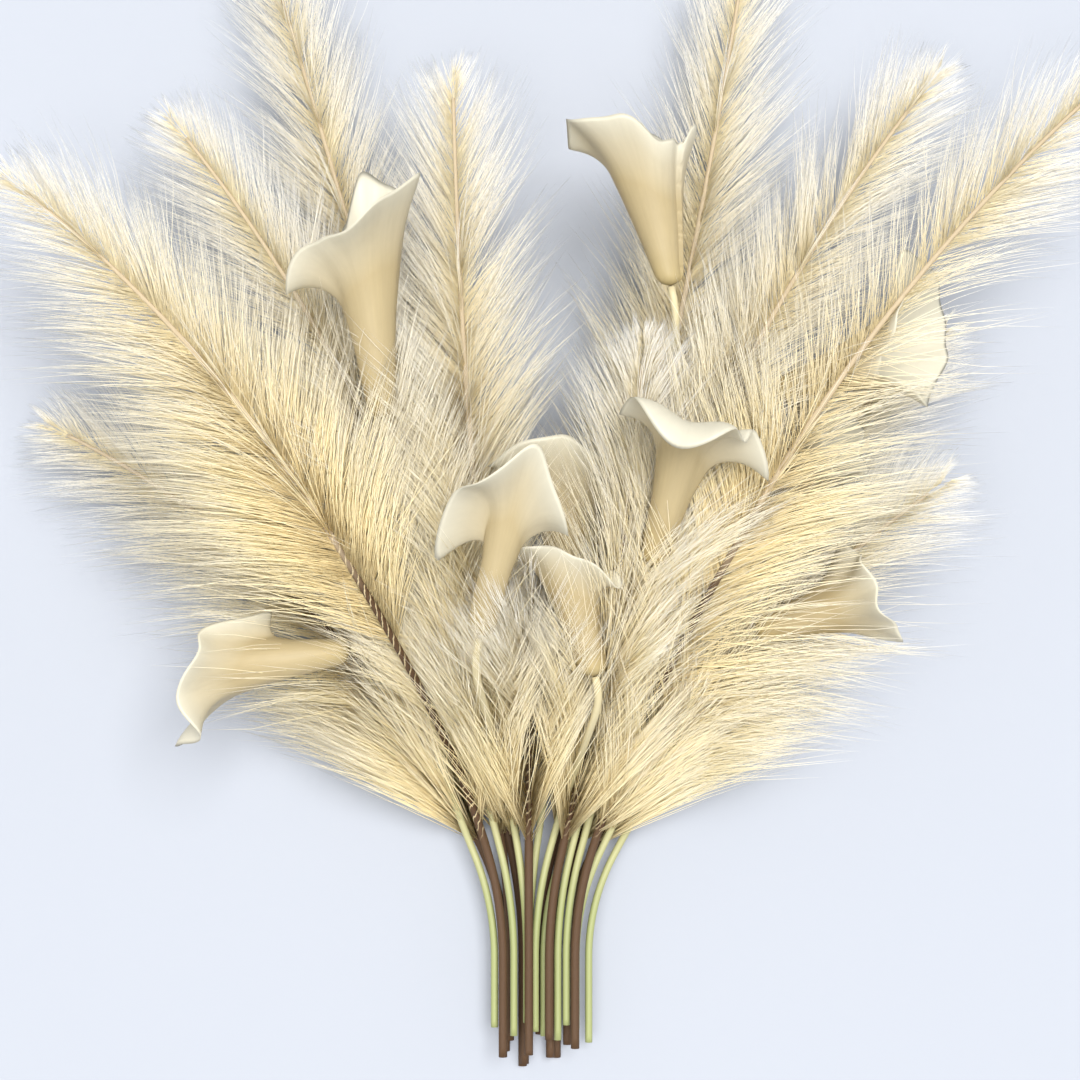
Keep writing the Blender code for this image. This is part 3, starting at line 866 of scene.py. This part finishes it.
def spadix(name, item, material):
    """The finger in a calla's throat: a ball stretched along the head's axis."""
    bm = bmesh.new()
    bmesh.ops.create_uvsphere(bm, u_segments=20, v_segments=24, radius=1.0)
    base, axis, front, cross = head_frame(item)
    for vert in bm.verts:
        level = 0.5 + math.asin(min(max(vert.co.z, -1.0), 1.0)) / math.pi
        height = 3.0 + (SPADIX_LENGTH - 0.5) * level
        blunt = min(1.0, math.sqrt(max(0.0, (1.0 - level) / 0.22)), math.sqrt(level / 0.04))
        radius = SPADIX_R * blunt * (0.8 + 0.2 * math.sin(math.pi * level))
        turn = math.atan2(vert.co.y, vert.co.x)
        spot = base + height * axis
        spot = spot + radius * (math.cos(turn) * front + math.sin(turn) * cross)
        vert.co = Vector(spot * MM)
    bmesh.ops.recalc_face_normals(bm, faces=bm.faces[:])
    obj = link_mesh(name, bm, material)
    obj.data.polygons.foreach_set("use_smooth", [True] * len(obj.data.polygons))
    return obj


# ---------------------------------------------------------------- settings
def colour_setting(name, description, default):
    """A colour property."""
    return bpy.props.FloatVectorProperty(
        name=name, description=description, default=default, min=0.0, max=1.0, size=3,
        subtype="COLOR")


def length_setting(name, description, default, low, high):
    """A length property, in metres."""
    return bpy.props.FloatProperty(
        name=name, description=description, default=default, min=low, max=high, unit="LENGTH",
        precision=5)


class PlumeSettings(bpy.types.PropertyGroup):
    """Sizes and colours of the plumes' fibres."""
    fibre_width: length_setting("Fibre width", "Width of one fibre at its root",
                                0.00036, 0.00005, 0.002)
    fibre_length: length_setting("Fibre length", "Length of the longest fibres, low on a plume",
                                 0.108, 0.02, 0.2)
    fibres_per_mm: bpy.props.FloatProperty(
        name="Fibres per mm", description="Fibres rooted on each millimetre of stem",
        default=16.5, min=1.0, max=30.0)
    gather: bpy.props.FloatProperty(
        name="Gather", description="How far the fibres of a wisp come together at their tips",
        default=0.45, min=0.0, max=1.0, subtype="FACTOR")
    variation: bpy.props.FloatProperty(
        name="Variation", description="How much darker than the rest a fibre may be",
        default=0.12, min=0.0, max=0.5, subtype="FACTOR")
    root_colour: colour_setting("Root colour", "Fibre colour at the stem", (0.97, 0.79, 0.43))
    middle_colour: colour_setting("Middle colour", "Fibre colour half way", (0.98, 0.86, 0.55))
    # The tip colour is partly painted light and the edge colour is painted light: paler and greyer
    # for light seen through thin, sparse fibres.
    tip_colour: colour_setting("Tip colour", "Fibre colour towards its end", (0.95, 0.90, 0.78))
    edge_colour: colour_setting("Edge colour", "Fibre colour at the plume's tip",
                                (0.92, 0.91, 0.88))


class StemSettings(bpy.types.PropertyGroup):
    """Colours of the stems."""
    stem_colour: colour_setting("Stem colour", "Bare plume stem", (0.085, 0.042, 0.016))
    wrap_colour: colour_setting("Thread colour", "Threads wound round the stem",
                                (0.56, 0.45, 0.26))
    rachis_colour: colour_setting("Rachis colour", "Upper part of the plume stem",
                                  (0.50, 0.40, 0.26))
    stalk_colour: colour_setting("Calla stem colour", "Lower end of a calla's stem",
                                 (0.34, 0.37, 0.15))
    neck_colour: colour_setting("Calla neck colour", "Calla's stem from the grip to its head",
                                (0.60, 0.52, 0.31))
    wrap_pitch: length_setting("Thread pitch", "Distance between turns of the thread",
                               0.0050, 0.001, 0.05)


class CallaSettings(bpy.types.PropertyGroup):
    """Sizes and colours of the callas."""
    wall: length_setting("Petal thickness", "Thickness of the petal", 0.0011, 0.0003, 0.004)
    ruffle: length_setting("Ruffle", "Depth of the waves in the lip", 0.0013, 0.0, 0.006)
    # The outside colour is partly painted shade, darker than the petal's own colour.
    outside_colour: colour_setting("Outside", "Outside of the petal", (0.42, 0.335, 0.185))
    lip_colour: colour_setting("Lip", "Lip and inside of the petal", (0.62, 0.58, 0.455))
    foot_colour: colour_setting("Foot", "Narrow end of the petal", (0.42, 0.33, 0.16))
    spadix_colour: colour_setting("Spadix", "Finger in the throat", (0.85, 0.62, 0.16))


class StageSettings(bpy.types.PropertyGroup):
    """Surface and light."""
    floor_colour: colour_setting("Surface", "Colour of the surface", (0.420, 0.442, 0.488))
    sky: bpy.props.FloatProperty(
        name="Sky", description="Strength of the light from all round", default=0.61, min=0.0,
        max=5.0)
    key: bpy.props.FloatProperty(
        name="Key", description="Strength of the main light", default=2.75, min=0.0, max=20.0)
    fill: bpy.props.FloatProperty(
        name="Fill", description="Strength of the second light", default=1.65, min=0.0, max=20.0)


# ---------------------------------------------------------------- operators
class BUNCH_OT_fringes(bpy.types.Operator):
    """Make the fibres of every plume"""
    bl_idname = "bunch.fringes"
    bl_label = "Plume fringes"

    def execute(self, context):
        settings = context.scene.bunch_plumes
        material = fibre_material(settings)
        for index, item in enumerate(PLUMES):
            rng = np.random.default_rng(100 + index)
            paths, radii, columns = fringe_strands(item, rng, settings)
            keep, paths = clear_of_heads(over_stalks(paths, rng), rng)
            keep &= clear_of_stems(paths, rng) & within_box(paths)
            obj = strand_mesh(f"fringe_{index + 1:02d}", paths[keep], radii[keep], columns[keep],
                              material)
            if not obj.data.polygons:
                raise RuntimeError(f"{obj.name} has no fibres")
            place(obj, "plume_fibre", f"plume_fringe_{index + 1:02d}")
        return {"FINISHED"}


class BUNCH_OT_stems(bpy.types.Operator):
    """Make the stems of every plume and calla"""
    bl_idname = "bunch.stems"
    bl_label = "Stems"

    def execute(self, context):
        settings = context.scene.bunch_stems
        brown = stem_material(settings)
        green = stalk_material(settings)
        for index, item in enumerate(PLUMES):
            stations = np.linspace(-item["tail"], item["reach"] - TIP_BRUSH, ROD_RINGS)
            share = np.clip(stations / item["reach"], 0.0, 1.0)
            radii = STEM_R + (STEM_TIP_R - STEM_R) * share
            obj = tube(f"rod_{index + 1:02d}", item, stations, radii, brown)
            place(obj, "plume_stem", f"plume_stem_{index + 1:02d}")
        for index, item in enumerate(CALLAS):
            stations = np.linspace(-item["tail"], item["reach"] - STEM_GAP, STALK_RINGS)
            radii = np.full(STALK_RINGS, CALLA_STEM_R)
            obj = tube(f"stalk_{index + 1:02d}", item, stations, radii, green)
            place(obj, "calla_stem", f"calla_stem_{index + 1:02d}")
        return {"FINISHED"}


class BUNCH_OT_callas(bpy.types.Operator):
    """Make the petal and spadix of every calla"""
    bl_idname = "bunch.callas"
    bl_label = "Calla heads"

    def execute(self, context):
        settings = context.scene.bunch_callas
        petal = petal_material(settings)
        yellow = spadix_material(settings)
        for index, item in enumerate(CALLAS):
            number = f"{index + 1:02d}"
            obj = spathe(f"spathe_{number}", item, 40 + index, settings, petal)
            place(obj, "calla_petal", f"calla_spathe_{number}")
            obj = spadix(f"spadix_{number}", item, yellow)
            place(obj, "calla_spadix", f"calla_spadix_{number}")
        return {"FINISHED"}


class BUNCH_OT_stage(bpy.types.Operator):
    """Make the surface, lights and camera"""
    bl_idname = "bunch.stage"
    bl_label = "Stage"

    def execute(self, context):
        settings = context.scene.bunch_stage
        scene = context.scene
        bm = bmesh.new()
        bmesh.ops.create_grid(bm, x_segments=1, y_segments=1, size=FLOOR_HALF)
        link_mesh("surface", bm, floor_material(settings))
        world = bpy.data.worlds.new("studio")
        scene.world = world
        world.use_nodes = True
        background = world.node_tree.nodes["Background"]
        background.inputs["Color"].default_value = (0.97, 0.98, 1.0, 1.0)
        background.inputs["Strength"].default_value = settings.sky
        world.cycles.sampling_method = "NONE"
        for name, spot, spread, power in (
                ("key", (0.35, 0.45, 1.85), 28.0, settings.key),
                ("fill", (-0.25, -0.15, 1.9), 40.0, settings.fill)):
            light = bpy.data.lights.new(name, "SUN")
            light.angle = math.radians(spread)
            light.energy = power
            lamp = bpy.data.objects.new(name, light)
            lamp.location = spot
            lamp.rotation_euler = Vector(spot).to_track_quat("Z", "Y").to_euler()
            scene.collection.objects.link(lamp)
        camera = bpy.data.cameras.new("camera")
        eye = bpy.data.objects.new("camera", camera)
        scene.collection.objects.link(eye)
        eye.location = EYE
        camera.sensor_width = SENSOR
        camera.lens = SENSOR / 2.0 * VIEW_DISTANCE / VIEW_HALF
        scene.camera = eye
        scene.view_settings.view_transform = "Standard"
        scene.cycles.diffuse_bounces = 4
        scene.cycles.adaptive_threshold = 0.1
        return {"FINISHED"}


class BUNCH_PT_panel(bpy.types.Panel):
    """Settings and steps of the bunch"""
    bl_idname = "BUNCH_PT_panel"
    bl_label = "Bunch of reed plumes"
    bl_space_type = "VIEW_3D"
    bl_region_type = "UI"
    bl_category = "Bunch"

    def draw(self, context):
        layout = self.layout
        for name, group, step in GROUPS:
            box = layout.box()
            settings = getattr(context.scene, name)
            for key in group.__annotations__:
                box.prop(settings, key)
            box.operator(step)


GROUPS = (
    ("bunch_stage", StageSettings, "bunch.stage"),
    ("bunch_stems", StemSettings, "bunch.stems"),
    ("bunch_callas", CallaSettings, "bunch.callas"),
    ("bunch_plumes", PlumeSettings, "bunch.fringes"),
)
CLASSES = (PlumeSettings, StemSettings, CallaSettings, StageSettings, BUNCH_OT_fringes,
           BUNCH_OT_stems, BUNCH_OT_callas, BUNCH_OT_stage, BUNCH_PT_panel)


def register():
    """Add the classes and their settings."""
    for item in CLASSES:
        bpy.utils.register_class(item)
    for name, group, _step in GROUPS:
        setattr(bpy.types.Scene, name, bpy.props.PointerProperty(type=group))


def unregister():
    """Take the classes and their settings away."""
    for name, _group, _step in GROUPS:
        delattr(bpy.types.Scene, name)
    for item in reversed(CLASSES):
        bpy.utils.unregister_class(item)


def main():
    """Build everything."""
    register()
    bpy.ops.bunch.stage()
    bpy.ops.bunch.stems()
    bpy.ops.bunch.callas()
    bpy.ops.bunch.fringes()


if __name__ == "__main__":
    main()
